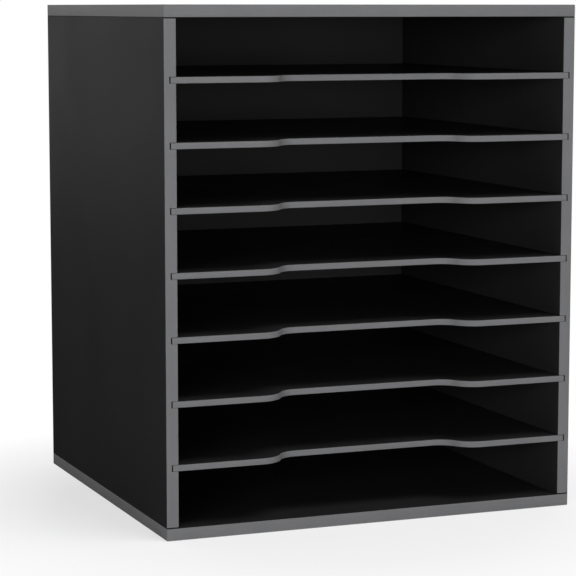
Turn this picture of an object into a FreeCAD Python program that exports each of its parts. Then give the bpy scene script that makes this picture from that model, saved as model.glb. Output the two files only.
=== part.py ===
import FreeCAD, Part

import math
import os

import Sketcher
from FreeCAD import Vector

# Paper rack: two side boards stand between a top and a bottom board, a thin back panel
# sits in grooves in all four, and notched shelves slide in grooves that are open in front.
# Frame: origin under the middle of the rack, X to the right, Y to the back, Z up, in mm.

# Driving dimensions
SIZES = [
    ("outer_width", 350),
    ("outer_depth", 322.5),
    ("board_thickness", 9.6),
    ("band_thickness", 0.5),
    ("edge_bevel", 0.3),
    ("compartment_height", 44.9),
    ("shelf_count", 7),
    ("shelf_thickness", 4.8),
    ("shelf_edge_bevel", 0.3),
    ("shelf_seat_gap", 0.1),
    ("shelf_headroom", 0.3),
    ("shelf_end_gap", 1.1),
    ("shelf_rear_gap", 0.3),
    ("groove_depth", 5.5),
    ("notch_width", 191),
    ("notch_depth", 20.5),
    ("notch_front_radius", 22),
    ("notch_floor_radius", 18),
    ("back_thickness", 4.8),
    ("back_inset", 4.2),
    ("back_groove_depth", 5),
    ("back_fit", 0.2),
    ("back_edge_gap", 0.3),
    ("screw_diameter", 3.5),
    ("screw_length", 35),
    ("screw_head_diameter", 6.8),
    ("screw_sink", 0.2),
    ("screw_fit", 0.05),
    ("screw_setback", 40),
    ("recess_span", 3.8),
    ("recess_slot", 0.9),
    ("recess_depth", 1.4),
    ("dowel_diameter", 5),
    ("dowel_length", 25),
    ("dowel_in_cover", 6),
    ("dowel_fit", 0.05),
    ("hole_end_gap", 0.3),
]

# A bevel takes at most this share of the wall that it is on
WALL_SHARE = 0.9

# Places and sizes that follow from the driving dimensions
LAYOUT = [
    ("bevel", f"min(Sizes.edge_bevel; {WALL_SHARE} * Sizes.band_thickness)"),
    ("half_width", "Sizes.outer_width / 2"),
    ("half_depth", "Sizes.outer_depth / 2"),
    ("front", "-half_depth"),
    ("rear", "half_depth"),
    ("core_half_width", "half_width - Sizes.band_thickness"),
    ("core_front", "front + Sizes.band_thickness"),
    ("core_rear", "rear - Sizes.band_thickness"),
    ("inner_half_width", "half_width - Sizes.board_thickness"),
    ("side_middle", "half_width - Sizes.board_thickness / 2"),
    ("shelf_pitch", "Sizes.compartment_height + Sizes.shelf_thickness"),
    ("side_height", "Sizes.compartment_height + Sizes.shelf_count * shelf_pitch"),
    ("cover_low", "Sizes.board_thickness + side_height"),
    ("groove_low", "Sizes.compartment_height - Sizes.shelf_seat_gap"),
    ("groove_height", "Sizes.shelf_seat_gap + Sizes.shelf_thickness + Sizes.shelf_headroom"),
    ("groove_floor", "inner_half_width + Sizes.groove_depth"),
    ("back_groove_rear", "rear - Sizes.back_inset"),
    ("back_groove_front", "back_groove_rear - Sizes.back_thickness - 2 * Sizes.back_fit"),
    ("back_groove_floor", "inner_half_width + Sizes.back_groove_depth"),
    ("back_half_width", "back_groove_floor - Sizes.back_edge_gap"),
    ("back_front", "back_groove_front + Sizes.back_fit"),
    ("back_rear", "back_front + Sizes.back_thickness"),
    ("back_low", "Sizes.board_thickness - Sizes.back_groove_depth"),
    ("back_height", "side_height + 2 * Sizes.back_groove_depth - Sizes.back_edge_gap"),
    ("shelf_half_width", "groove_floor - Sizes.shelf_end_gap"),
    ("shelf_rear", "back_front - Sizes.shelf_rear_gap"),
    ("shelf_low", "Sizes.board_thickness + Sizes.compartment_height"),
    ("shelf_wall", "min(Sizes.band_thickness; Sizes.shelf_thickness / 2)"),
    ("shelf_bevel", f"min(Sizes.shelf_edge_bevel; {WALL_SHARE} * shelf_wall)"),
    ("notch_radii", "Sizes.notch_front_radius + Sizes.notch_floor_radius"),
    ("notch_turn", "acos(1 - Sizes.notch_depth / notch_radii)"),
    ("notch_mouth", "Sizes.notch_width / 2"),
    ("notch_floor", "notch_mouth - notch_radii * sin(notch_turn)"),
    ("screw_line", "half_depth - Sizes.screw_setback"),
    ("screw_hole", "Sizes.screw_diameter + 2 * Sizes.screw_fit"),
    ("screw_top", "Sizes.board_thickness - Sizes.screw_sink"),
    ("screw_radius", "Sizes.screw_diameter / 2"),
    ("screw_head_radius", "Sizes.screw_head_diameter / 2"),
    ("screw_cone_low", "screw_top - (screw_head_radius - screw_radius)"),
    ("screw_end", "screw_top - Sizes.screw_length"),
    ("countersink", "Sizes.screw_head_diameter + 2 * (Sizes.screw_sink + Sizes.screw_fit)"),
    ("screw_in_side", "Sizes.hole_end_gap - screw_end"),
    ("dowel_hole", "Sizes.dowel_diameter + 2 * Sizes.dowel_fit"),
    ("dowel_top", "Sizes.dowel_in_cover"),
    ("dowel_low", "dowel_top - Sizes.dowel_length"),
    ("dowel_cover_bore", "dowel_top + Sizes.hole_end_gap"),
    ("dowel_side_bore", "Sizes.hole_end_gap - dowel_low"),
]

# A shorter length, or a smaller volume, counts as none
TINY = 0.001

document = FreeCAD.newDocument("paper_rack")


def make_sizes():
    """Spreadsheet with the driving dimensions."""
    sheet = document.addObject("Spreadsheet::Sheet", "Sizes")
    for row, (name, value) in enumerate(SIZES, start=1):
        sheet.set(f"A{row}", name)
        sheet.set(f"B{row}", str(value))
        sheet.setAlias(f"B{row}", name)
    document.recompute()
    return sheet


def make_layout():
    """Variable set whose values are worked out from the spreadsheet."""
    variables = document.addObject("App::VarSet", "Layout")
    for name, formula in LAYOUT:
        variables.addProperty("App::PropertyFloat", name)
        variables.setExpression(name, formula)
    document.recompute()
    return variables


sizes = make_sizes()
layout = make_layout()


def new_body(name, lift, turned=False):
    """Body raised by the formula in lift; a turned one is rolled over about its Y axis first."""
    body = document.addObject("PartDesign::Body", name)
    body.Label = name
    if turned:
        body.Placement = FreeCAD.Placement(Vector(), FreeCAD.Rotation(Vector(0, 1, 0), 180))
    body.setExpression("Placement.Base.z", lift)
    return body


def origin_feature(body, role):
    return next(feature for feature in body.Origin.OriginFeatures if feature.Role == role)


def new_sketch(body, name, plane="XY_Plane", **shift):
    """Sketch on one of the body's own planes, shifted in that plane's axes x, y and z."""
    sketch = body.newObject("Sketcher::SketchObject", f"{body.Label}_{name}")
    sketch.AttachmentSupport = [(origin_feature(body, plane), "")]
    sketch.MapMode = "FlatFace"
    for axis, formula in shift.items():
        sketch.setExpression(f"AttachmentOffset.Base.{axis}", formula)
    return sketch


def bind(sketch, kind, formula, start, *elements):
    """Dimensional constraint that a formula drives."""
    index = sketch.addConstraint(Sketcher.Constraint(kind, *elements, start))
    sketch.setExpression(f"Constraints[{index}]", formula)


def place_point(sketch, element, end, across, along):
    """Point of an element, held at two formulas from the sketch's origin."""
    point = sketch.getPoint(element, end)
    bind(sketch, "DistanceX", across, point.x, -1, 1, element, end)
    bind(sketch, "DistanceY", along, point.y, -1, 1, element, end)


def draw_polygon(sketch, corners):
    """Closed polygon through corners given by formulas."""
    count = len(corners)
    turn = 2 * math.pi / count
    starts = [Vector(math.cos(turn * step), math.sin(turn * step), 0) for step in range(count)]
    first = sketch.GeometryCount
    for here, there in zip(starts, starts[1:] + starts[:1]):
        sketch.addGeometry(Part.LineSegment(here, there))
    for step, (across, along) in enumerate(corners):
        before = first + (step - 1) % count
        sketch.addConstraint(Sketcher.Constraint("Coincident", before, 2, first + step, 1))
        place_point(sketch, first + step, 1, across, along)


def draw_rectangle(sketch, left, right, low, high):
    draw_polygon(sketch, [(left, low), (right, low), (right, high), (left, high)])


def draw_circle(sketch, across, along, diameter):
    circle = sketch.addGeometry(Part.Circle(Vector(0, 0, 0), Vector(0, 0, 1), 1))
    bind(sketch, "Diameter", diameter, 2, circle)
    place_point(sketch, circle, 3, across, along)


def pad(body, sketch, height):
    feature = body.newObject("PartDesign::Pad", f"{sketch.Label}_pad")
    feature.Profile = sketch
    feature.setExpression("Length", height)
    document.recompute()


def revolve(body, sketch):
    """Full turn about the sketch's upright axis."""
    feature = body.newObject("PartDesign::Revolution", f"{sketch.Label}_turn")
    feature.Profile = sketch
    feature.ReferenceAxis = (sketch, ["V_Axis"])
    feature.Angle = 360
    document.recompute()


def pocket(body, sketch, depth, along_normal=False):
    """Pocket against the sketch's normal, or along it; one that cuts nothing is an error."""
    before = body.Shape.Volume
    feature = body.newObject("PartDesign::Pocket", f"{sketch.Label}_pocket")
    feature.Profile = sketch
    feature.Reversed = along_normal
    feature.setExpression("Length", depth)
    document.recompute()
    if body.Shape.Volume > before - TINY:
        raise RuntimeError(f"{feature.Label} cuts nothing")
    return feature


def finish_pattern(body, pattern):
    body.Tip = pattern
    document.recompute()


def bevel_edges(body, size, chosen):
    """Bevel on each edge of the body that chosen(edge) accepts."""
    base = body.Tip
    names = [f"Edge{number}" for number, edge in enumerate(base.Shape.Edges, start=1) if chosen(edge)]
    feature = body.newObject("PartDesign::Chamfer", f"{body.Label}_bevel")
    feature.Base = (base, names)
    feature.setExpression("Size", size)
    document.recompute()


def lies_on(edge, axis, place):
    """True where the whole edge keeps one coordinate."""
    box = edge.BoundBox
    low, high = {"x": (box.XMin, box.XMax), "y": (box.YMin, box.YMax), "z": (box.ZMin, box.ZMax)}[axis]
    return abs(low - place) < TINY and abs(high - place) < TINY


def joins_two(edge, planes):
    """True for an edge where two of the given outside planes meet."""
    return sum(lies_on(edge, axis, place) for axis, place in planes) > 1


# The top board covers both side boards. Its underside, at the height of 0 in its own frame,
# has the stopped groove of the back panel and the dowel bores; the screws are countersunk
# in its upper face. The bottom board is the same piece turned over.


SCREW_PLACES = ("-Layout.screw_line", "Layout.screw_line")
DOWEL_PLACES = ("0",)


def draw_circles(sketch, hands, places, diameter):
    """Circles over the middle of the side boards' thickness, at the given places along them."""
    for hand in hands:
        for place in places:
            draw_circle(sketch, f"{hand} * Layout.side_middle", place, diameter)


def make_cover_board(name, lift, turned):
    body = new_body(name, lift, turned)
    outline = new_sketch(body, "outline")
    draw_rectangle(
        outline,
        "-Layout.core_half_width",
        "Layout.core_half_width",
        "Layout.core_front",
        "Layout.core_rear",
    )
    pad(body, outline, "Sizes.board_thickness")

    groove = new_sketch(body, "back_groove")
    draw_rectangle(
        groove,
        "-Layout.back_groove_floor",
        "Layout.back_groove_floor",
        "Layout.back_groove_front",
        "Layout.back_groove_rear",
    )
    pocket(body, groove, "Sizes.back_groove_depth", along_normal=True)

    bores = new_sketch(body, "dowel_bores")
    draw_circles(bores, (-1, 1), DOWEL_PLACES, "Layout.dowel_hole")
    pocket(body, bores, "Layout.dowel_cover_bore", along_normal=True)

    holes = new_sketch(body, "screw_holes", z="Sizes.board_thickness")
    draw_circles(holes, (-1, 1), SCREW_PLACES, "Layout.screw_hole")
    document.recompute()
    hole = body.newObject("PartDesign::Hole", f"{name}_countersunk_holes")
    hole.Profile = holes
    document.recompute()
    hole.ThreadType = "None"
    hole.DepthType = "ThroughAll"
    hole.HoleCutType = "Countersink"
    hole.setExpression("Diameter", "Layout.screw_hole")
    hole.setExpression("HoleCutDiameter", "Layout.countersink")
    hole.HoleCutCountersinkAngle = 90
    document.recompute()
    return body


# Grey bands cover the four edges of the top and bottom boards. The front and rear bands run
# the full width over the ends of the side ones, and every outside edge of them is bevelled.

COVER_BANDS = {
    "front": ("-Layout.half_width", "Layout.half_width", "Layout.front", "Layout.core_front"),
    "rear": ("-Layout.half_width", "Layout.half_width", "Layout.core_rear", "Layout.rear"),
    "left": ("-Layout.half_width", "-Layout.core_half_width", "Layout.core_front", "Layout.core_rear"),
    "right": ("Layout.core_half_width", "Layout.half_width", "Layout.core_front", "Layout.core_rear"),
}


def make_cover_bands(board, lift):
    outside = [
        ("x", -layout.half_width),
        ("x", layout.half_width),
        ("y", layout.front),
        ("y", layout.rear),
        ("z", 0),
        ("z", sizes.board_thickness),
    ]
    bands = []
    for place, sides in COVER_BANDS.items():
        body = new_body(f"{board}_{place}_band", lift)
        outline = new_sketch(body, "outline")
        draw_rectangle(outline, *sides)
        pad(body, outline, "Sizes.board_thickness")
        bevel_edges(body, "Layout.bevel", lambda edge: joins_two(edge, outside))
        bands.append(body)
    return bands


# The side boards stand between the bottom and the top board. Their height of 0 is the upper
# face of the bottom board. hand is -1 for the left one and 1 for the right one.


def side_outside(hand):
    """Outside planes of a side board with its bands."""
    return [
        ("x", hand * layout.half_width),
        ("y", layout.front),
        ("y", layout.rear),
        ("z", 0),
        ("z", layout.side_height),
    ]


def cut_shelf_grooves(body, hand, front, length):
    """Grooves from the front plane backwards, one above the other at the shelves' pitch."""
    groove = new_sketch(body, "shelf_groove", plane="XZ_Plane", z=f"-{front}")
    draw_rectangle(
        groove,
        f"{hand} * Layout.inner_half_width",
        f"{hand} * Layout.groove_floor",
        "Layout.groove_low",
        "Layout.groove_low + Layout.groove_height",
    )
    cut = pocket(body, groove, length)
    rows = body.newObject("PartDesign::LinearPattern", f"{body.Label}_shelf_grooves")
    rows.Originals = [cut]
    rows.Direction = (origin_feature(body, "Z_Axis"), [""])
    rows.setExpression("Length", "(Sizes.shelf_count - 1) * Layout.shelf_pitch")
    rows.setExpression("Occurrences", "Sizes.shelf_count")
    finish_pattern(body, rows)


def drill_side_ends(body, hand, name, places, diameter, depth):
    """Blind bores in the lower and the upper end of a side board."""
    for end, height, upwards in (("lower", "0", True), ("upper", "Layout.side_height", False)):
        bores = new_sketch(body, f"{end}_{name}", z=height)
        draw_circles(bores, (hand,), places, diameter)
        pocket(body, bores, depth, along_normal=upwards)


def make_side_board(name, hand):
    body = new_body(name, "Sizes.board_thickness")
    outline = new_sketch(body, "outline")
    draw_rectangle(
        outline,
        f"{hand} * Layout.half_width",
        f"{hand} * Layout.inner_half_width",
        "Layout.core_front",
        "Layout.core_rear",
    )
    pad(body, outline, "Layout.side_height")
    bevel_edges(body, "Layout.bevel", lambda edge: joins_two(edge, side_outside(hand)))

    back_groove = new_sketch(body, "back_groove")
    draw_rectangle(
        back_groove,
        f"{hand} * Layout.inner_half_width",
        f"{hand} * Layout.back_groove_floor",
        "Layout.back_groove_front",
        "Layout.back_groove_rear",
    )
    pocket(body, back_groove, "Layout.side_height", along_normal=True)
    cut_shelf_grooves(body, hand, "Layout.core_front", "Layout.back_groove_front - Layout.core_front")
    drill_side_ends(body, hand, "dowel_bores", DOWEL_PLACES, "Layout.dowel_hole", "Layout.dowel_side_bore")
    drill_side_ends(body, hand, "screw_holes", SCREW_PLACES, "Layout.screw_hole", "Layout.screw_in_side")
    return body


def make_side_bands(side, hand):
    """Front band, through which the shelf grooves run out, and rear band of a side board."""
    bands = []
    inner = ("x", hand * layout.inner_half_width)
    for place, face, start, end in (
        ("front", ("y", layout.front), "Layout.front", "Layout.core_front"),
        ("rear", ("y", layout.rear), "Layout.core_rear", "Layout.rear"),
    ):
        body = new_body(f"{side}_{place}_band", "Sizes.board_thickness")
        outline = new_sketch(body, "outline")
        draw_rectangle(
            outline,
            f"{hand} * Layout.half_width",
            f"{hand} * Layout.inner_half_width",
            start,
            end,
        )
        pad(body, outline, "Layout.side_height")
        bevel_edges(
            body,
            "Layout.bevel",
            lambda edge: joins_two(edge, side_outside(hand)) or joins_two(edge, [inner, face]),
        )
        if place == "front":
            cut_shelf_grooves(body, hand, "Layout.front", "Sizes.band_thickness")
        bands.append(body)
    return bands


# The back panel stands on the floor of the bottom board's groove and laps into all four boards.


def make_back_panel():
    body = new_body("back_panel", "Layout.back_low")
    outline = new_sketch(body, "outline")
    draw_rectangle(
        outline,
        "-Layout.back_half_width",
        "Layout.back_half_width",
        "Layout.back_front",
        "Layout.back_rear",
    )
    pad(body, outline, "Layout.back_height")
    return body


# A shelf is a thin board with a band along its front edge. The edge has a wide finger notch,
# and each side of the notch is an S of two tangent arcs. The arcs keep their centres where
# the line is set back by the band, so the band is equally thick all along.


def draw_front_line(sketch, layers):
    """Front line of a shelf from left to right, set back by a number of bands."""
    setback = f"{layers} * Sizes.band_thickness"
    shift = layers * sizes.band_thickness
    turn = math.radians(layout.notch_turn)
    right_angle = math.pi / 2
    front = layout.front + shift
    floor = layout.front + sizes.notch_depth + shift
    corner_radius = sizes.notch_front_radius - shift
    floor_radius = sizes.notch_floor_radius + shift

    def straight(start, end, height):
        return Part.LineSegment(Vector(start, height, 0), Vector(end, height, 0))

    def arc(across, along, radius, start, end):
        circle = Part.Circle(Vector(across, along, 0), Vector(0, 0, 1), radius)
        return Part.ArcOfCircle(circle, start, end)

    corner_y = front + corner_radius
    floor_y = floor - floor_radius
    first = sketch.GeometryCount
    for element in (
        straight(-layout.shelf_half_width, -layout.notch_mouth, front),
        arc(-layout.notch_mouth, corner_y, corner_radius, -right_angle, -right_angle + turn),
        arc(-layout.notch_floor, floor_y, floor_radius, right_angle, right_angle + turn),
        straight(-layout.notch_floor, layout.notch_floor, floor),
        arc(layout.notch_floor, floor_y, floor_radius, right_angle - turn, right_angle),
        arc(layout.notch_mouth, corner_y, corner_radius, -right_angle - turn, -right_angle),
        straight(layout.notch_mouth, layout.shelf_half_width, front),
    ):
        sketch.addGeometry(element)
    left_line, left_corner, left_floor, floor_line = range(first, first + 4)
    right_floor, right_corner, right_line = range(first + 4, first + 7)

    for here, end, there, start in (
        (left_line, 2, left_corner, 1),
        (left_corner, 2, left_floor, 2),
        (left_floor, 1, floor_line, 1),
        (floor_line, 2, right_floor, 2),
        (right_floor, 1, right_corner, 1),
        (right_corner, 2, right_line, 1),
    ):
        sketch.addConstraint(Sketcher.Constraint("Tangent", here, end, there, start))
    for line in (left_line, floor_line, right_line):
        sketch.addConstraint(Sketcher.Constraint("Horizontal", line))
    for corner, hand in ((left_corner, -1), (right_corner, 1)):
        bind(sketch, "Radius", f"Sizes.notch_front_radius - {setback}", corner_radius, corner)
        place_point(
            sketch,
            corner,
            3,
            f"{hand} * Layout.notch_mouth",
            "Layout.front + Sizes.notch_front_radius",
        )
    for bend in (left_floor, right_floor):
        bind(sketch, "Radius", f"Sizes.notch_floor_radius + {setback}", floor_radius, bend)
    bind(
        sketch,
        "DistanceY",
        f"Layout.front + Sizes.notch_depth + {setback}",
        floor,
        -1,
        1,
        floor_line,
        1,
    )
    bind(sketch, "DistanceX", "-Layout.shelf_half_width", -layout.shelf_half_width, -1, 1, left_line, 1)
    bind(sketch, "DistanceX", "Layout.shelf_half_width", layout.shelf_half_width, -1, 1, right_line, 2)
    return (left_line, 1), (right_line, 2)


def close_outline(sketch, start, end, rear_corners):
    """Straight lines from end through the rear corners back to start."""
    points = [sketch.getPoint(*end)] + [corner for corner, _ in rear_corners] + [sketch.getPoint(*start)]
    before = end
    for here, there in zip(points, points[1:]):
        line = sketch.addGeometry(Part.LineSegment(here, there))
        sketch.addConstraint(Sketcher.Constraint("Coincident", *before, line, 1))
        before = (line, 2)
    sketch.addConstraint(Sketcher.Constraint("Coincident", *before, *start))
    first = sketch.GeometryCount - len(rear_corners)
    for step, (_, formulas) in enumerate(rear_corners):
        place_point(sketch, first + step, 1, *formulas)


def make_shelf(number):
    """Shelf board and its front band; shelf_1 is the lowest."""
    name = f"shelf_{number}"
    lift = f"Layout.shelf_low + {number - 1} * Layout.shelf_pitch"

    board = new_body(name, lift)
    outline = new_sketch(board, "outline")
    start, end = draw_front_line(outline, 1)
    rear_corners = [
        (
            Vector(hand * layout.shelf_half_width, layout.shelf_rear, 0),
            (f"{hand} * Layout.shelf_half_width", "Layout.shelf_rear"),
        )
        for hand in (1, -1)
    ]
    close_outline(outline, start, end, rear_corners)
    pad(board, outline, "Sizes.shelf_thickness")

    band = new_body(f"{name}_band", lift)
    strip = new_sketch(band, "strip")
    outer_start, outer_end = draw_front_line(strip, 0)
    inner_start, inner_end = draw_front_line(strip, 1)
    close_outline(strip, outer_end, inner_end, [])
    close_outline(strip, outer_start, inner_start, [])
    pad(band, strip, "Sizes.shelf_thickness")

    def is_front_arris(edge):
        """True for the upper and lower edges of the band's front face, away from the board."""
        level = lies_on(edge, "z", 0) or lies_on(edge, "z", sizes.shelf_thickness)
        return level and edge.distToShape(board.Tip.Shape)[0] > TINY

    bevel_edges(band, "Layout.shelf_bevel", is_front_arris)
    return [board, band]


# Countersunk screws with a cross recess hold each cover board on the ends of the side boards,
# and a plain dowel between them places it. They share the cover board's frame.


def repeat_over_sides(body, places):
    """Copies of the piece over both side boards, from the first place on the left one."""
    copies = body.newObject("PartDesign::LinearPattern", f"{body.Label}_set")
    copies.TransformMode = "Whole shape"
    copies.Direction = (origin_feature(body, "X_Axis"), [""])
    copies.Occurrences = 2
    copies.setExpression("Length", "2 * Layout.side_middle")
    if len(places) > 1:
        copies.Direction2 = (origin_feature(body, "Y_Axis"), [""])
        copies.Occurrences2 = len(places)
        copies.setExpression("Length2", f"{places[-1]} - ({places[0]})")
    finish_pattern(body, copies)


def make_screws(name, lift, turned):
    body = new_body(name, lift, turned)
    profile = new_sketch(body, "profile", plane="XZ_Plane", x="-Layout.side_middle", z="Layout.screw_line")
    draw_polygon(
        profile,
        [
            ("0", "Layout.screw_end"),
            ("Layout.screw_radius", "Layout.screw_end"),
            ("Layout.screw_radius", "Layout.screw_cone_low"),
            ("Layout.screw_head_radius", "Layout.screw_top"),
            ("0", "Layout.screw_top"),
        ],
    )
    revolve(body, profile)

    slot = new_sketch(
        body,
        "recess_slot",
        x="-Layout.side_middle",
        y="-Layout.screw_line",
        z="Layout.screw_top",
    )
    draw_rectangle(
        slot,
        "-Sizes.recess_span / 2",
        "Sizes.recess_span / 2",
        "-Sizes.recess_slot / 2",
        "Sizes.recess_slot / 2",
    )
    cut = pocket(body, slot, "Sizes.recess_depth")
    cross = body.newObject("PartDesign::PolarPattern", f"{name}_cross_recess")
    cross.Originals = [cut]
    cross.Axis = (slot, ["N_Axis"])
    cross.Angle = 90
    cross.Occurrences = 2
    finish_pattern(body, cross)
    repeat_over_sides(body, SCREW_PLACES)
    return body


def make_dowels(name, lift, turned):
    body = new_body(name, lift, turned)
    section = new_sketch(body, "section", z="Layout.dowel_low")
    draw_circle(section, "-Layout.side_middle", DOWEL_PLACES[0], "Sizes.dowel_diameter")
    pad(body, section, "Sizes.dowel_length")
    repeat_over_sides(body, DOWEL_PLACES)
    return body


def make_rack():
    """Every piece of the rack, from the top board down to the shelves."""
    pieces = []
    for board, lift, turned, band_lift in (
        ("top", "Layout.cover_low", False, "Layout.cover_low"),
        ("bottom", "Sizes.board_thickness", True, "0"),
    ):
        pieces.append(make_cover_board(f"{board}_board", lift, turned))
        pieces.extend(make_cover_bands(board, band_lift))
        pieces.append(make_screws(f"{board}_screws", lift, turned))
        pieces.append(make_dowels(f"{board}_dowels", lift, turned))
    for side, hand in (("left", -1), ("right", 1)):
        pieces.append(make_side_board(f"{side}_side_board", hand))
        pieces.extend(make_side_bands(side, hand))
    pieces.append(make_back_panel())
    for number in range(1, int(sizes.shelf_count) + 1):
        pieces.extend(make_shelf(number))
    return pieces


def check(pieces):
    """Stop where an object of the document failed, or a piece has no sound shape."""
    for item in document.Objects:
        if "Invalid" in item.State or "Error" in item.State:
            raise RuntimeError(f"{item.Label} failed: {item.State}")
    for piece in pieces:
        if piece.Shape.isNull() or not piece.Shape.isValid():
            raise RuntimeError(f"{piece.Label} has no sound shape")


rack = make_rack()
document.recompute()
check(rack)
os.makedirs("parts", exist_ok=True)
for piece in rack:
    piece.Shape.exportStep(f"parts/{piece.Label}.step")
    print(f"{piece.Label}: {len(piece.Shape.Solids)} solids, {piece.Shape.Volume:.1f} mm3")
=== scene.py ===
import math

import bmesh
import bpy
from mathutils import Matrix, Vector


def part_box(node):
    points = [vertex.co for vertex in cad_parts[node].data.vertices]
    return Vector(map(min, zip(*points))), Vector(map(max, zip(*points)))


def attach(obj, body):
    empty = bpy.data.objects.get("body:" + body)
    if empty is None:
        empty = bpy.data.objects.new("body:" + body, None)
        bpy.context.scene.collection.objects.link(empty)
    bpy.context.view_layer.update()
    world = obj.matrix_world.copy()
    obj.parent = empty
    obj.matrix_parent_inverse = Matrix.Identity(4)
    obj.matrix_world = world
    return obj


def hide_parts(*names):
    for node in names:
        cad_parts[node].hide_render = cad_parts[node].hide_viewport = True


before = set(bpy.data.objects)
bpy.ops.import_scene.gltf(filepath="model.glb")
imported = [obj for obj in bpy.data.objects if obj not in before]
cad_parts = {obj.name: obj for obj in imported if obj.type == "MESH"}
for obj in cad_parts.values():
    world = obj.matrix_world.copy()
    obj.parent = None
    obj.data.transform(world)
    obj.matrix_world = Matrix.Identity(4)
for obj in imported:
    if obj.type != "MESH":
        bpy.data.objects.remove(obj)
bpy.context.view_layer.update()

# Bottom board, top board and the two side boards. They are medium density fibreboard under
# a thin matt black foil with a very fine emboss. Grooves and bores are cut through the foil
# into the black-dyed core, so they are duller and a little browner than the faces.

MM = 0.001
X, Y, Z = range(3)

FOIL_BLACK = (0.0158, 0.0158, 0.0162, 1)
FOIL_FADED = (0.0192, 0.0192, 0.0196, 1)
FOIL_SPECULAR = 0.0095
FOIL_SMOOTH = 0.29
FOIL_SMUDGED = 0.36
CORE_DARK = (0.0105, 0.0095, 0.0085, 1)
CORE_LIGHT = (0.026, 0.0225, 0.0195, 1)
CORE_ROUGHNESS = 0.85
SKIN = 0.08 * MM

# Each noise pattern has its size as a number of features in a metre
CLOUDS = 9
SMUDGES = 14
FIBRES = 1400
EMBOSS = 1500
SPECKS = 2600
SPECK_SHARE = 0.4
BOARD_BUMP = 0.1
BOARD_RELIEF = 0.06 * MM

# Sockets of a Mix node that mixes colours: share and two colours, and the colour that comes out
COLOUR_INPUTS = (0, 6, 7)
COLOUR_RESULT = 2


def feed(tree, socket, value):
    """Set an input to a value, or link it to another node's output."""
    if isinstance(value, bpy.types.NodeSocket):
        tree.links.new(value, socket)
    else:
        socket.default_value = value


def add_node(tree, kind, inputs=(), **settings):
    """Shader node with its settings and its inputs."""
    made = tree.nodes.new(kind)
    for name, value in settings.items():
        setattr(made, name, value)
    for name, value in dict(inputs).items():
        feed(tree, made.inputs[name], value)
    return made


def new_material(name):
    """Material with a Principled shader; gives the material, its tree, shader and coordinates."""
    material = bpy.data.materials.new(name)
    material.use_nodes = True
    tree = material.node_tree
    shader = tree.nodes["Principled BSDF"]
    place = add_node(tree, "ShaderNodeTexCoord").outputs["Object"]
    return material, tree, shader, place


def coordinate(tree, place, axis):
    """One of the three numbers of a place."""
    return add_node(tree, "ShaderNodeSeparateXYZ", {"Vector": place}).outputs[axis]


def noise(tree, place, scale, detail=2, roughness=0.5):
    """Noise between 0 and 1, mostly near 0.5."""
    inputs = {"Vector": place, "Scale": scale, "Detail": detail, "Roughness": roughness}
    return add_node(tree, "ShaderNodeTexNoise", inputs).outputs["Fac"]


def remap(tree, value, low, high, to_low=0, to_high=1):
    """Value led from one range into another, and held inside it."""
    inputs = {"Value": value, "From Min": low, "From Max": high, "To Min": to_low, "To Max": to_high}
    return add_node(tree, "ShaderNodeMapRange", inputs).outputs["Result"]


def calculate(tree, operation, *values):
    """Result of a Math node."""
    made = add_node(tree, "ShaderNodeMath", operation=operation)
    for socket, value in zip(made.inputs, values):
        feed(tree, socket, value)
    return made.outputs["Value"]


def mix_values(tree, share, first, second):
    """Number between two numbers, by a share."""
    difference = calculate(tree, "SUBTRACT", second, first)
    return calculate(tree, "MULTIPLY_ADD", share, difference, first)


def mix_colours(tree, share, first, second):
    """Colour between two colours, by a share."""
    made = add_node(tree, "ShaderNodeMix", data_type="RGBA")
    for index, value in zip(COLOUR_INPUTS, (share, first, second)):
        feed(tree, made.inputs[index], value)
    return made.outputs[COLOUR_RESULT]


def add_bump(tree, shader, height, strength, distance):
    """Fine relief on a shader."""
    inputs = {"Height": height, "Strength": strength, "Distance": distance}
    bump = add_node(tree, "ShaderNodeBump", inputs)
    feed(tree, shader.inputs["Normal"], bump.outputs["Normal"])


def between(tree, place, axis, low, high):
    """1 where a coordinate lies between low and high, without the skin at either end."""
    value = coordinate(tree, place, axis)
    above = calculate(tree, "GREATER_THAN", value, low + SKIN)
    below = calculate(tree, "LESS_THAN", value, high - SKIN)
    return calculate(tree, "MULTIPLY", above, below)


def foil_board_material(node, axis):
    """Black foil on both faces of a board, and the core where it is cut, between its faces."""
    material, tree, shader, place = new_material(f"black_foil_{node}")
    low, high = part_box(node)
    core = between(tree, place, axis, low[axis], high[axis])

    clouds = remap(tree, noise(tree, place, CLOUDS, detail=3), low=0.3, high=0.7)
    specks = remap(tree, noise(tree, place, SPECKS, detail=1), low=0.35, high=0.75)
    fading = calculate(tree, "MULTIPLY_ADD", specks, SPECK_SHARE, clouds)
    foil = mix_colours(tree, fading, FOIL_BLACK, FOIL_FADED)
    fibres = remap(tree, noise(tree, place, FIBRES, detail=4, roughness=0.65), low=0.35, high=0.7)
    cut = mix_colours(tree, fibres, CORE_DARK, CORE_LIGHT)
    feed(tree, shader.inputs["Base Color"], mix_colours(tree, core, foil, cut))

    smudges = noise(tree, place, SMUDGES, detail=3, roughness=0.6)
    sheen = remap(tree, smudges, low=0.3, high=0.75, to_low=FOIL_SMOOTH, to_high=FOIL_SMUDGED)
    feed(tree, shader.inputs["Roughness"], mix_values(tree, core, sheen, CORE_ROUGHNESS))
    shader.inputs["Specular IOR Level"].default_value = FOIL_SPECULAR
    emboss = noise(tree, place, EMBOSS, roughness=0.6)
    add_bump(tree, shader, mix_values(tree, core, emboss, fibres), BOARD_BUMP, BOARD_RELIEF)
    return material


def dress(node, material):
    """Give a solid of the frame its one material."""
    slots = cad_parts[node].data.materials
    slots.clear()
    slots.append(material)


for board, thickness_axis in (
    ("bottom_board", Z),
    ("left_side_board", X),
    ("right_side_board", X),
    ("top_board", Z),
):
    dress(board, foil_board_material(board, thickness_axis))

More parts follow.
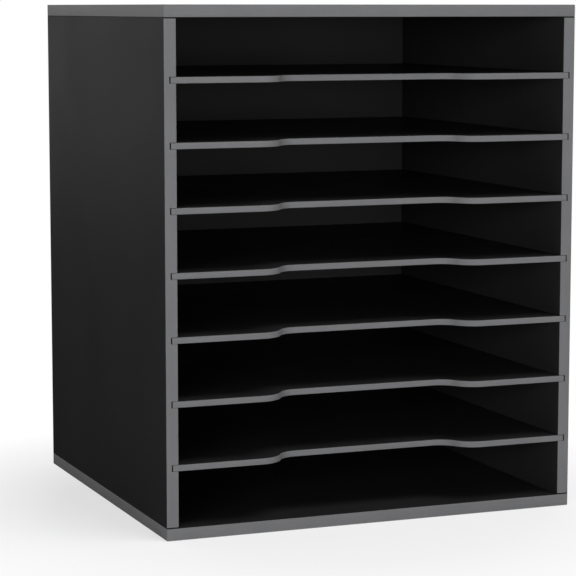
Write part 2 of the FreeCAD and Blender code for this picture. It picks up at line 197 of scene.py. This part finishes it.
# Back panel. It is thin hardboard that slides into the grooves of all four boards: black foil
# in front, and behind it the plain black-painted screen side of the hardboard.

# Painted light: the panel's front foil is painted lighter than the same foil on the boards, in place of
# light in the deep compartments
PANEL_BLACK_LIGHTENED = (0.028, 0.028, 0.0282, 1)
PANEL_FADED_LIGHTENED = (0.0325, 0.0325, 0.0328, 1)
PANEL_CLOUDS = 8
PANEL_ROUGHNESS = 0.36
PAINT_PATCHES = 260
PAINT_ROUGHNESS = 0.72
SCREEN_PITCH = 1.1 * MM
PANEL_BUMP = 0.15
PANEL_RELIEF = 0.08 * MM
panel_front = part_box("back_panel")[0].y


def back_panel_material():
    """Foil on the front face, painted lighter as painted light, and everywhere behind it paint over a
    grid of small dimples.
    """
    material, tree, shader, place = new_material("black_hardboard")
    across, depth, height = (coordinate(tree, place, axis) for axis in (X, Y, Z))
    behind = calculate(tree, "GREATER_THAN", depth, panel_front + SKIN)

    clouds = remap(tree, noise(tree, place, PANEL_CLOUDS, detail=3), low=0.3, high=0.7)
    foil = mix_colours(tree, clouds, PANEL_BLACK_LIGHTENED, PANEL_FADED_LIGHTENED)
    patches = remap(tree, noise(tree, place, PAINT_PATCHES, detail=4), low=0.3, high=0.7)
    paint = mix_colours(tree, patches, CORE_DARK, CORE_LIGHT)
    feed(tree, shader.inputs["Base Color"], mix_colours(tree, behind, foil, paint))

    roughness = mix_values(tree, behind, PANEL_ROUGHNESS, PAINT_ROUGHNESS)
    feed(tree, shader.inputs["Roughness"], roughness)
    shader.inputs["Specular IOR Level"].default_value = FOIL_SPECULAR
    turn = 2 * math.pi / SCREEN_PITCH
    columns = calculate(tree, "SINE", calculate(tree, "MULTIPLY", across, turn))
    rows = calculate(tree, "SINE", calculate(tree, "MULTIPLY", height, turn))
    screen = calculate(tree, "MULTIPLY", columns, rows)
    emboss = noise(tree, place, EMBOSS, roughness=0.6)
    add_bump(tree, shader, mix_values(tree, behind, emboss, screen), PANEL_BUMP, PANEL_RELIEF)
    return material


dress("back_panel", back_panel_material())

# Bands of the top and bottom boards. They are strips of matt grey plastic, 0.5 mm thick, glued
# round the boards' edges. The machine that trims them rounds every outside arris, and leaves
# faint lines along them.

BAND_GREY = (0.1265, 0.1275, 0.1312, 1)
BAND_RUBBED = (0.1415, 0.1425, 0.1462, 1)
BAND_SPECULAR = 0.06
BAND_SMOOTH = 0.42
BAND_DULL = 0.52
BAND_CLOUDS = 30
BAND_GRAIN = 3200
GRAIN_SHARE = 0.6
LINES_ACROSS = 1400
LINES_ALONG = 9
BAND_BUMP = 0.1
BAND_RELIEF = 0.05 * MM
BAND_ROUND = 0.4 * MM
ROUND_STEPS = 4
SMOOTH_ANGLE = math.radians(35)
NEAR = 0.01 * MM
MERGED = 0.001 * MM

# Painted shade: dark lines are painted on the upright bands at the seams between the side boards and
# the other two, in place of the shade in the narrow gap at each seam
SEAM_SHADE = (0.012, 0.012, 0.012, 1)
SEAM_HALF = 0.55 * MM
SEAM_SHIFT = 0.4 * MM
low_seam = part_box("bottom_board")[1].z + SEAM_SHIFT
top_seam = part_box("top_board")[0].z - SEAM_SHIFT


def stretched(tree, place, scale):
    """Coordinates with a scale of their own along each axis."""
    return add_node(tree, "ShaderNodeMapping", {"Vector": place, "Scale": scale}).outputs["Vector"]


def band_material(name, axis):
    """Matt grey plastic with fine lines along one axis, and shade painted dark at the seams between
    boards.
    """
    material, tree, shader, place = new_material(name)
    height = coordinate(tree, place, Z)
    # Painted shade: a dark band at each seam height stands in for the shade in the gap between the
    # boards
    at_low_seam = calculate(tree, "COMPARE", height, low_seam, SEAM_HALF)
    at_top_seam = calculate(tree, "COMPARE", height, top_seam, SEAM_HALF)
    painted_seam_shade = calculate(tree, "MAXIMUM", at_low_seam, at_top_seam)

    scale = [LINES_ACROSS, LINES_ACROSS, LINES_ACROSS]
    scale[axis] = LINES_ALONG
    lines = noise(tree, stretched(tree, place, scale), 1)
    clouds = noise(tree, place, BAND_CLOUDS, detail=3, roughness=0.6)
    mean = calculate(tree, "MULTIPLY", calculate(tree, "ADD", lines, clouds), 0.5)
    plastic = mix_colours(tree, remap(tree, mean, low=0.35, high=0.65), BAND_GREY, BAND_RUBBED)
    feed(tree, shader.inputs["Base Color"], mix_colours(tree, painted_seam_shade, plastic, SEAM_SHADE))

    roughness = remap(tree, clouds, low=0.3, high=0.7, to_low=BAND_SMOOTH, to_high=BAND_DULL)
    feed(tree, shader.inputs["Roughness"], roughness)
    shader.inputs["Specular IOR Level"].default_value = BAND_SPECULAR
    grain = noise(tree, place, BAND_GRAIN, detail=1)
    relief = calculate(tree, "MULTIPLY_ADD", grain, GRAIN_SHARE, lines)
    add_bump(tree, shader, relief, BAND_BUMP, BAND_RELIEF)
    return material


band_materials = [band_material(f"grey_band_{name}", axis) for axis, name in enumerate("xyz")]


def box_mesh(low, high):
    """Box between two corners, as a new bmesh."""
    mesh = bmesh.new()
    bmesh.ops.create_cube(mesh, size=1)
    bmesh.ops.scale(mesh, vec=high - low, verts=mesh.verts)
    bmesh.ops.translate(mesh, vec=(high + low) / 2, verts=mesh.verts)
    return mesh


def count_planes(edge, planes):
    """Number of the given planes, each an axis and a place, that the whole edge lies in."""
    return sum(all(abs(v.co[axis] - place) < NEAR for v in edge.verts) for axis, place in planes)


def round_arrises(mesh, planes, inner_planes=()):
    """Round the edges where two outside planes meet, and those in both of the inner planes."""
    chosen = []
    for edge in mesh.edges:
        if count_planes(edge, planes) > 1 or count_planes(edge, inner_planes) > 1:
            chosen.append(edge)
    bmesh.ops.bevel(
        mesh,
        geom=chosen,
        offset=BAND_ROUND,
        segments=ROUND_STEPS,
        profile=0.5,
        affect="EDGES",
        material=-1,
        clamp_overlap=True,
    )


def finish_piece(mesh, name, material, body, node):
    """Object from a bmesh, in the place of a node: it rides on a body and has the node's slot."""
    bmesh.ops.remove_doubles(mesh, verts=mesh.verts, dist=MERGED)
    bmesh.ops.recalc_face_normals(mesh, faces=mesh.faces)
    data = bpy.data.meshes.new(name)
    mesh.to_mesh(data)
    mesh.free()
    data.shade_smooth()
    data.set_sharp_from_angle(angle=SMOOTH_ANGLE)
    data.materials.append(material)
    piece = bpy.data.objects.new(name, data)
    bpy.context.scene.collection.objects.link(piece)
    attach(piece, body)
    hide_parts(node)


for board in ("bottom", "top"):
    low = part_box(f"{board}_front_band")[0]
    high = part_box(f"{board}_rear_band")[1]
    outside = [(axis, corner[axis]) for corner in (low, high) for axis in (X, Y, Z)]
    for side, axis in (("front", X), ("rear", X), ("left", Y), ("right", Y)):
        node = f"{board}_{side}_band"
        bar = box_mesh(*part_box(node))
        round_arrises(bar, outside)
        finish_piece(bar, f"{node}_rounded", band_materials[axis], "carcass", node)

# Bands of the side boards. They stand between the bottom and the top board. The grooves for
# the shelves run out through the front ones, so each of those has seven square notches.

GROOVE_BELOW = 0.1 * MM
GROOVE_ABOVE = 0.3 * MM
GROOVE_END = 1.1 * MM
shelf_nodes = sorted(
    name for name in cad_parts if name.startswith("shelf_") and not name.endswith("_band")
)


def quarter_turn(axis):
    """Turn of 90 degrees about an axis, named by its letter."""
    return Matrix.Rotation(math.radians(90), 3, axis)


def verts_of(made):
    """Vertices among what an extrusion or a copy has made."""
    return [item for item in made if isinstance(item, bmesh.types.BMVert)]


def notched_strip(low, high, hand):
    """Front band of a side board: a flat strip without its groove cells, given its thickness."""
    mesh = bmesh.new()
    middle = ((low.x + high.x) / 2, low.y, (low.z + high.z) / 2)
    bmesh.ops.create_grid(mesh, x_segments=1, y_segments=1, size=0.5)
    bmesh.ops.rotate(mesh, cent=(0, 0, 0), matrix=quarter_turn("X"), verts=mesh.verts)
    bmesh.ops.scale(mesh, vec=(high.x - low.x, 1, high.z - low.z), verts=mesh.verts)
    bmesh.ops.translate(mesh, vec=middle, verts=mesh.verts)

    shelf_boxes = [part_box(shelf) for shelf in shelf_nodes]
    shelf_end = shelf_boxes[0][1].x
    groove_floor = (shelf_end + GROOVE_END) * hand
    grooves = [(under.z - GROOVE_BELOW, over.z + GROOVE_ABOVE) for under, over in shelf_boxes]
    cuts = [((groove_floor, 0, 0), (1, 0, 0))]
    cuts += [((0, 0, level), (0, 0, 1)) for groove in grooves for level in groove]
    for point, normal in cuts:
        everything = mesh.verts[:] + mesh.edges[:] + mesh.faces[:]
        bmesh.ops.bisect_plane(mesh, geom=everything, plane_co=point, plane_no=normal)

    cells = []
    for face in mesh.faces:
        centre = face.calc_center_median()
        inward = centre.x * hand < groove_floor * hand
        if inward and any(lower < centre.z < upper for lower, upper in grooves):
            cells.append(face)
    bmesh.ops.delete(mesh, geom=cells, context="FACES")
    raised = bmesh.ops.extrude_face_region(mesh, geom=mesh.faces[:])["geom"]
    bmesh.ops.translate(mesh, vec=(0, high.y - low.y, 0), verts=verts_of(raised))
    bmesh.ops.recalc_face_normals(mesh, faces=mesh.faces)
    return mesh


for side, hand in (("left", -1), ("right", 1)):
    for place in ("front", "rear"):
        node = f"{side}_{place}_band"
        low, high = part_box(node)
        outer_x, inner_x = (high.x, low.x) if hand > 0 else (low.x, high.x)
        face_y = low.y if place == "front" else high.y
        strip = notched_strip(low, high, hand) if place == "front" else box_mesh(low, high)
        outside = [(X, outer_x), (Y, face_y), (Z, low.z), (Z, high.z)]
        round_arrises(strip, outside, inner_planes=[(X, inner_x), (Y, face_y)])
        finish_piece(strip, f"{node}_rounded", band_materials[Z], "carcass", node)

# Shelves. Each is a thin board under the same black foil, with a finger notch in its front
# edge. It slides in the grooves of the side boards and comes out to the front.

for shelf in shelf_nodes:
    dress(shelf, foil_board_material(shelf, Z))

# Bands of the shelves. One strip of the same grey plastic follows the front edge of each
# shelf round the notch. Its section is drawn once at the left end and led along the edge.

MOUTH_HALF = 95.5 * MM
CORNER_RADIUS = 22 * MM
HOLLOW_RADIUS = 18 * MM
BEND_STEPS = 14


def led_strip(low, high, thickness):
    """Strip led along a shelf's front edge, from its left end to its right end."""
    # The two arcs on each side of the notch meet in a common tangent
    depth = high.y - low.y - thickness
    turn = math.acos(1 - depth / (CORNER_RADIUS + HOLLOW_RADIUS))
    hollow_half = MOUTH_HALF - (CORNER_RADIUS + HOLLOW_RADIUS) * math.sin(turn)
    corner_y = low.y + CORNER_RADIUS
    hollow_y = low.y + depth - HOLLOW_RADIUS

    mesh = bmesh.new()
    middle = (low.x, low.y + thickness / 2, (low.z + high.z) / 2)
    bmesh.ops.create_grid(mesh, x_segments=1, y_segments=1, size=0.5)
    bmesh.ops.rotate(mesh, cent=(0, 0, 0), matrix=quarter_turn("Y"), verts=mesh.verts)
    bmesh.ops.scale(mesh, vec=(1, thickness, high.z - low.z), verts=mesh.verts)
    bmesh.ops.translate(mesh, vec=middle, verts=mesh.verts)
    bmesh.ops.bevel(
        mesh,
        geom=[v for v in mesh.verts if abs(v.co.y - low.y) < NEAR],
        offset=BAND_ROUND,
        segments=ROUND_STEPS,
        profile=0.5,
        affect="VERTICES",
        material=-1,
    )

    def lead(part, distance):
        """Lead the section straight on to the right."""
        made = bmesh.ops.extrude_face_region(mesh, geom=part)["geom"]
        bmesh.ops.translate(mesh, vec=(distance, 0, 0), verts=verts_of(made))
        return made

    def swing(part, across, along, angle):
        """Lead the section round an upright axis."""
        made = bmesh.ops.spin(
            mesh,
            geom=part,
            cent=(across, along, 0),
            axis=(0, 0, 1),
            angle=angle,
            steps=BEND_STEPS,
            use_duplicate=False,
        )
        return made["geom_last"]

    section = mesh.faces[:] + mesh.edges[:] + mesh.verts[:]
    section = lead(section, -MOUTH_HALF - low.x)
    section = swing(section, -MOUTH_HALF, corner_y, turn)
    section = swing(section, -hollow_half, hollow_y, -turn)
    section = lead(section, 2 * hollow_half)
    section = swing(section, hollow_half, hollow_y, -turn)
    section = swing(section, MOUTH_HALF, corner_y, turn)
    lead(section, high.x - MOUTH_HALF)
    return mesh


side_low, side_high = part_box("left_front_band")
band_thickness = side_high.y - side_low.y
for shelf in shelf_nodes:
    node = f"{shelf}_band"
    strip = led_strip(*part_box(node), band_thickness)
    finish_piece(strip, f"{node}_rounded", band_materials[X], shelf, node)

# Screws. Four go through the top board and four through the bottom board, two into the end
# of each side board. They are countersunk wood screws of blackened steel, with a cross recess,
# a plain neck, a coarse thread and a point.

OXIDE_BLACK = (0.055, 0.055, 0.06, 1)
OXIDE_WORN = (0.13, 0.125, 0.12, 1)
OXIDE_METALLIC = 0.85
OXIDE_SMOOTH = 0.32
OXIDE_DULL = 0.5
WEAR_PATCHES = 900
OXIDE_CLOUDS = 500
OXIDE_GRAIN = 2500
SCREW_BUMP = 0.1
SCREW_RELIEF = 0.03 * MM

HEAD_RADIUS = 3.4 * MM
HEAD_CONE = 2 * MM
HEAD_STEPS = 48
RIM_HEIGHT = 0.25 * MM
RIM_INSET = 0.06 * MM
RECESS_SPAN = 3.8 * MM
RECESS_SLOT = 0.9 * MM
RECESS_DEPTH = 1.4 * MM
RECESS_TAPER = 0.62
SCREW_RADIUS = 1.75 * MM
CORE_SHARE = 0.68
TIP_SHARE = 0.05
NECK_END = 8 * MM
POINT_LENGTH = 4 * MM
THREAD_PITCH = 1.6 * MM
THREAD_WIDTH = 0.84 * MM
THREAD_STEPS = 24
SCREW_TURNS = (20, 65, 5, 40)


def screw_material():
    """Black oxide on steel, rubbed a little paler in patches."""
    material, tree, shader, place = new_material("black_oxide")
    patches = noise(tree, place, WEAR_PATCHES, detail=3, roughness=0.6)
    colour = mix_colours(tree, remap(tree, patches, low=0.5, high=0.75), OXIDE_BLACK, OXIDE_WORN)
    feed(tree, shader.inputs["Base Color"], colour)
    clouds = noise(tree, place, OXIDE_CLOUDS)
    roughness = remap(tree, clouds, low=0.3, high=0.7, to_low=OXIDE_SMOOTH, to_high=OXIDE_DULL)
    feed(tree, shader.inputs["Roughness"], roughness)
    shader.inputs["Metallic"].default_value = OXIDE_METALLIC
    add_bump(tree, shader, noise(tree, place, OXIDE_GRAIN), SCREW_BUMP, SCREW_RELIEF)
    return material


def ring_edges(mesh, steps, radius):
    """New ring round the Z axis at a height of 0."""
    circle = bmesh.ops.create_circle(mesh, cap_ends=False, radius=radius, segments=steps)["verts"]
    return list({edge for vert in circle for edge in vert.link_edges})


def next_ring(mesh, edges, shift, scale):
    """Ring led on along Z and scaled about the axis; gives the new ring."""
    made = bmesh.ops.extrude_edge_only(mesh, edges=edges)["geom"]
    bmesh.ops.scale(mesh, vec=(scale, scale, 1), verts=verts_of(made))
    bmesh.ops.translate(mesh, vec=(0, 0, shift), verts=verts_of(made))
    return [item for item in made if isinstance(item, bmesh.types.BMEdge)]


def led_profile(mesh, edges, start, profile):
    """Round wall from a first ring, through pairs of radius and height; gives the last ring."""
    radius, height = start
    for next_radius, next_height in profile:
        edges = next_ring(mesh, edges, next_height - height, next_radius / radius)
        radius, height = next_radius, next_height
    return edges


def cross_recess(mesh):
    """Cross-shaped opening with tapered walls and a floor; gives its edges in the top face."""
    # Nine cells, whose inner lines are drawn together until they are a slot's width apart
    grid = bmesh.ops.create_grid(mesh, x_segments=3, y_segments=3, size=RECESS_SPAN / 2)["verts"]
    for axis in (X, Y):
        inner = [v for v in grid if abs(v.co[axis]) < RECESS_SPAN / 4]
        factors = [1, 1, 1]
        factors[axis] = RECESS_SLOT / (RECESS_SPAN / 3)
        bmesh.ops.scale(mesh, vec=factors, verts=inner)

    # The four corner cells go, and the other five are left as the cross
    faces = list({face for v in grid for face in v.link_faces})
    corners = []
    for face in faces:
        centre = face.calc_center_median()
        if min(abs(centre.x), abs(centre.y)) > RECESS_SLOT / 2:
            corners.append(face)
    bmesh.ops.delete(mesh, geom=corners, context="FACES")
    faces = [face for face in faces if face.is_valid]
    mouth = [edge for edge in {e for face in faces for e in face.edges} if edge.is_boundary]

    # The cross is sunk to the floor and drawn in, which leaves the recess open above it
    floor = verts_of(bmesh.ops.extrude_face_region(mesh, geom=faces)["geom"])
    bmesh.ops.translate(mesh, vec=(0, 0, -RECESS_DEPTH), verts=floor)
    bmesh.ops.scale(mesh, vec=(RECESS_TAPER, RECESS_TAPER, 1), verts=floor)
    bmesh.ops.delete(mesh, geom=[face for face in faces if face.is_valid], context="FACES")
    return mouth


def add_thread(mesh, length):
    """Three-sided thread round the core, from just above the point nearly up to the neck."""
    section = bmesh.ops.create_circle(mesh, cap_ends=True, radius=THREAD_WIDTH / 2, segments=3)["verts"]
    faces = list({face for vert in section for face in vert.link_faces})
    crest_out = quarter_turn("Y") @ quarter_turn("X")
    bmesh.ops.rotate(mesh, cent=(0, 0, 0), matrix=crest_out, verts=section)
    crest = max(v.co.x for v in section)
    start = POINT_LENGTH + THREAD_WIDTH / 2 - length
    bmesh.ops.translate(mesh, vec=(SCREW_RADIUS - crest, 0, start), verts=section)
    rise = -NECK_END - THREAD_WIDTH - start
    turns = rise / THREAD_PITCH
    steps = int(turns * THREAD_STEPS)
    bmesh.ops.spin(
        mesh,
        geom=faces,
        cent=(0, 0, 0),
        axis=(0, 0, 1),
        dvec=(0, 0, rise / steps),
        angle=turns * 2 * math.pi,
        steps=steps,
        use_duplicate=False,
    )


def screw_mesh(length):
    """Screw with its head's top face at the origin and its point below."""
    mesh = bmesh.new()
    top_radius = HEAD_RADIUS - RIM_INSET
    rim = ring_edges(mesh, HEAD_STEPS, top_radius)
    mouth = cross_recess(mesh)
    bmesh.ops.triangle_fill(mesh, edges=rim + mouth, normal=(0, 0, 1), use_beauty=True)
    core_radius = SCREW_RADIUS * CORE_SHARE
    profile = [
        (HEAD_RADIUS, -RIM_INSET),
        (HEAD_RADIUS, -RIM_HEIGHT),
        (SCREW_RADIUS, -RIM_HEIGHT - HEAD_CONE),
        (SCREW_RADIUS, -NECK_END),
        (core_radius, -NECK_END - SCREW_RADIUS),
        (core_radius, POINT_LENGTH - length),
        (core_radius * TIP_SHARE, -length),
    ]
    tip = led_profile(mesh, rim, (top_radius, 0), profile)
    bmesh.ops.contextual_create(mesh, geom=tip)
    add_thread(mesh, length)
    return mesh


def placed_copies(mesh, places):
    """Copies of a mesh, each turned about its axis and moved to its place."""
    first = mesh.verts[:] + mesh.edges[:] + mesh.faces[:]
    for place, angle in places:
        verts = verts_of(bmesh.ops.duplicate(mesh, geom=first)["geom"])
        turn = Matrix.Rotation(math.radians(angle), 3, "Z")
        bmesh.ops.rotate(mesh, cent=(0, 0, 0), matrix=turn, verts=verts)
        bmesh.ops.translate(mesh, vec=place, verts=verts)
    bmesh.ops.delete(mesh, geom=first, context="VERTS")


screw_black = screw_material()
for board in ("bottom", "top"):
    node = f"{board}_screws"
    low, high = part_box(node)
    screws = screw_mesh(high.z - low.z)
    head_z = high.z
    if board == "bottom":
        head_z = low.z
        head_down = Matrix.Rotation(math.pi, 3, "X")
        bmesh.ops.rotate(screws, cent=(0, 0, 0), matrix=head_down, verts=screws.verts)
    across = high.x - HEAD_RADIUS
    along = high.y - HEAD_RADIUS
    spots = [Vector((x, y, head_z)) for x in (-across, across) for y in (-along, along)]
    placed_copies(screws, list(zip(spots, SCREW_TURNS)))
    finish_piece(screws, f"{node}_threaded", screw_black, "carcass", node)

# Dowels. One in the middle of each joint places the boards on each other. They are turned
# from beech, with flutes that let the glue out, and with chamfered ends.

BEECH_DEEP = (0.56, 0.37, 0.21, 1)
BEECH_PALE = (0.7, 0.51, 0.32, 1)
BEECH_FLECK = (0.36, 0.2, 0.1, 1)
BEECH_SMOOTH = 0.6
BEECH_DULL = 0.75
GRAIN_SCALE = (1500, 1500, 50)
FLECK_SCALE = (4000, 4000, 700)
DOWEL_BUMP = 0.2
DOWEL_RELIEF = 0.05 * MM
DOWEL_FLUTES = 16
FLUTE_STEPS = 3
FLUTE_SHARE = 0.93
DOWEL_CHAMFER = 0.7 * MM


def dowel_material():
    """Beech with its grain and flecks along the dowel."""
    material, tree, shader, place = new_material("beech")
    grain = noise(tree, stretched(tree, place, GRAIN_SCALE), 1, detail=4, roughness=0.6)
    flecks = noise(tree, stretched(tree, place, FLECK_SCALE), 1, detail=1)
    wood = mix_colours(tree, remap(tree, grain, low=0.3, high=0.7), BEECH_DEEP, BEECH_PALE)
    colour = mix_colours(tree, remap(tree, flecks, low=0.62, high=0.72), wood, BEECH_FLECK)
    feed(tree, shader.inputs["Base Color"], colour)
    roughness = remap(tree, grain, low=0.3, high=0.7, to_low=BEECH_SMOOTH, to_high=BEECH_DULL)
    feed(tree, shader.inputs["Roughness"], roughness)
    add_bump(tree, shader, grain, DOWEL_BUMP, DOWEL_RELIEF)
    return material


def dowel_mesh(radius, length):
    """Fluted dowel that stands on the origin."""
    mesh = bmesh.new()
    lower = ring_edges(mesh, DOWEL_FLUTES * FLUTE_STEPS, radius)
    rim = sorted(mesh.verts, key=lambda v: math.atan2(v.co.y, v.co.x))
    bmesh.ops.scale(mesh, vec=(FLUTE_SHARE, FLUTE_SHARE, 1), verts=rim[::FLUTE_STEPS])
    end_radius = radius - DOWEL_CHAMFER
    end_share = end_radius / radius
    bmesh.ops.scale(mesh, vec=(end_share, end_share, 1), verts=mesh.verts)
    profile = [(radius, DOWEL_CHAMFER), (radius, length - DOWEL_CHAMFER), (end_radius, length)]
    upper = led_profile(mesh, lower, (end_radius, 0), profile)
    for ring in (lower, upper):
        bmesh.ops.contextual_create(mesh, geom=ring)
    return mesh


beech = dowel_material()
for board in ("bottom", "top"):
    node = f"{board}_dowels"
    low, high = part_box(node)
    radius = (high.y - low.y) / 2
    dowels = dowel_mesh(radius, high.z - low.z)
    across = high.x - radius
    placed_copies(dowels, [(Vector((x, 0, low.z)), 0) for x in (-across, across)])
    finish_piece(dowels, f"{node}_fluted", beech, "carcass", node)

# Floor. The rack stands on a plain pale floor that takes its shadow and runs out into white.
# It lies a little below the rack's underside, so that the two faces don't coincide.

FLOOR_REACH = 30
FLOOR_STEPS = 64
FLOOR_DROP = 0.2 * MM
FLOOR_PALE = (0.9, 0.9, 0.905, 1)
WHITE = (1, 1, 1, 1)
FADE_MIDDLE = (-0.03, -0.08, 0)
FADE_FROM = 0.2
FADE_TO = 0.4
NEAR_LIFT = 0.6


def seen_directly(tree, path):
    """1 for rays from the camera and rays through glass, from a Light Path's outputs."""
    return calculate(tree, "MAXIMUM", path["Is Camera Ray"], path["Is Transmission Ray"])


def floor_material():
    """Pale floor that is lifted towards white near the rack, and plain white further out."""
    material, tree, shader, place = new_material("pale_floor")
    tree.nodes.remove(shader)
    span = {0: place, 1: FADE_MIDDLE}
    distance = add_node(tree, "ShaderNodeVectorMath", span, operation="DISTANCE").outputs["Value"]
    lift = mix_values(tree, remap(tree, distance, FADE_FROM, FADE_TO), NEAR_LIFT, 1)
    path = add_node(tree, "ShaderNodeLightPath").outputs
    share = calculate(tree, "MULTIPLY", lift, seen_directly(tree, path))
    lit = add_node(tree, "ShaderNodeBsdfDiffuse", {"Color": FLOOR_PALE}).outputs["BSDF"]
    white = add_node(tree, "ShaderNodeEmission", {"Color": WHITE, "Strength": 1}).outputs["Emission"]
    mixed = add_node(tree, "ShaderNodeMixShader", {0: share, 1: lit, 2: white}).outputs["Shader"]
    feed(tree, tree.nodes["Material Output"].inputs["Surface"], mixed)
    return material


floor_mesh = bmesh.new()
bmesh.ops.create_circle(floor_mesh, cap_ends=True, radius=FLOOR_REACH, segments=FLOOR_STEPS)
floor_data = bpy.data.meshes.new("floor")
floor_mesh.to_mesh(floor_data)
floor_mesh.free()
floor_data.materials.append(floor_material())
floor = bpy.data.objects.new("floor", floor_data)
bpy.context.scene.collection.objects.link(floor)
floor.location.z = -FLOOR_DROP
floor.visible_glossy = False

# Backdrop. It is white all round to the camera, and white down to the horizon and dark below it
# in reflections. Its own light on the rack is weak in front and stronger from behind, so that
# the rear can be made out.

AMBIENT_FRONT = 0.18
AMBIENT_REAR = 0.8
REAR_REACH = 0.8
HORIZON_BRIGHT = -0.04
HORIZON_DARK = -0.1


def studio_world():
    """World of plain white light, whose strength goes by the kind of ray and its direction."""
    world = bpy.data.worlds.new("studio")
    world.use_nodes = True
    tree = world.node_tree
    tree.nodes.clear()
    direction = add_node(tree, "ShaderNodeTexCoord").outputs["Generated"]
    backward = coordinate(tree, direction, Y)
    upward = coordinate(tree, direction, Z)
    ambient = remap(tree, backward, 0, REAR_REACH, to_low=AMBIENT_FRONT, to_high=AMBIENT_REAR)
    reflected = remap(tree, upward, HORIZON_DARK, HORIZON_BRIGHT)
    path = add_node(tree, "ShaderNodeLightPath").outputs
    indirect = mix_values(tree, path["Is Glossy Ray"], ambient, reflected)
    strength = mix_values(tree, seen_directly(tree, path), indirect, 1)
    light = add_node(tree, "ShaderNodeBackground", {"Color": WHITE, "Strength": strength})
    add_node(tree, "ShaderNodeOutputWorld", {"Surface": light.outputs["Background"]})
    return world


bpy.context.scene.world = studio_world()

# Lamps. Three soft boxes stand low in front, high above and low at the left front. They hold
# the light at a plain level, and neither the camera nor a reflection sees them.


def add_lamp(name, place, aim, size, power):
    """Rectangular soft box that points at a place on the rack."""
    data = bpy.data.lights.new(name, "AREA")
    data.shape = "RECTANGLE"
    data.size, data.size_y = size
    data.energy = power
    lamp = bpy.data.objects.new(name, data)
    bpy.context.scene.collection.objects.link(lamp)
    lamp.location = place
    lamp.rotation_euler = (Vector(aim) - Vector(place)).to_track_quat("-Z", "Y").to_euler()
    lamp.visible_camera = False
    lamp.visible_glossy = False


add_lamp("front_lamp", place=(-0.4, -3.1, 0.36), aim=(0, 0, 0.2), size=(3.2, 0.6), power=36)
add_lamp("top_lamp", place=(0.5, -0.9, 2.8), aim=(0, 0, 0.1), size=(1.4, 1.4), power=46)
add_lamp("left_lamp", place=(-1.8, -2, 0.56), aim=(0, 0, 0.2), size=(0.9, 0.5), power=22)

# Camera. It stands to the left of the front, level with the top board, and looks a little
# down at the rack through a long lens.

LENS = 140
SENSOR = 36
FAR_CLIP = 100
CAMERA_PLACE = (-0.7141, -1.7696, 0.4097)
CAMERA_TILT = math.radians(82.861)
CAMERA_TURN = math.radians(-21.684)

camera_data = bpy.data.cameras.new("camera")
camera_data.lens = LENS
camera_data.sensor_width = SENSOR
camera_data.clip_end = FAR_CLIP
camera = bpy.data.objects.new("camera", camera_data)
bpy.context.scene.collection.objects.link(camera)
camera.location = CAMERA_PLACE
camera.rotation_euler = (CAMERA_TILT, 0, CAMERA_TURN)
bpy.context.scene.camera = camera
bpy.context.scene.view_settings.view_transform = "Standard"
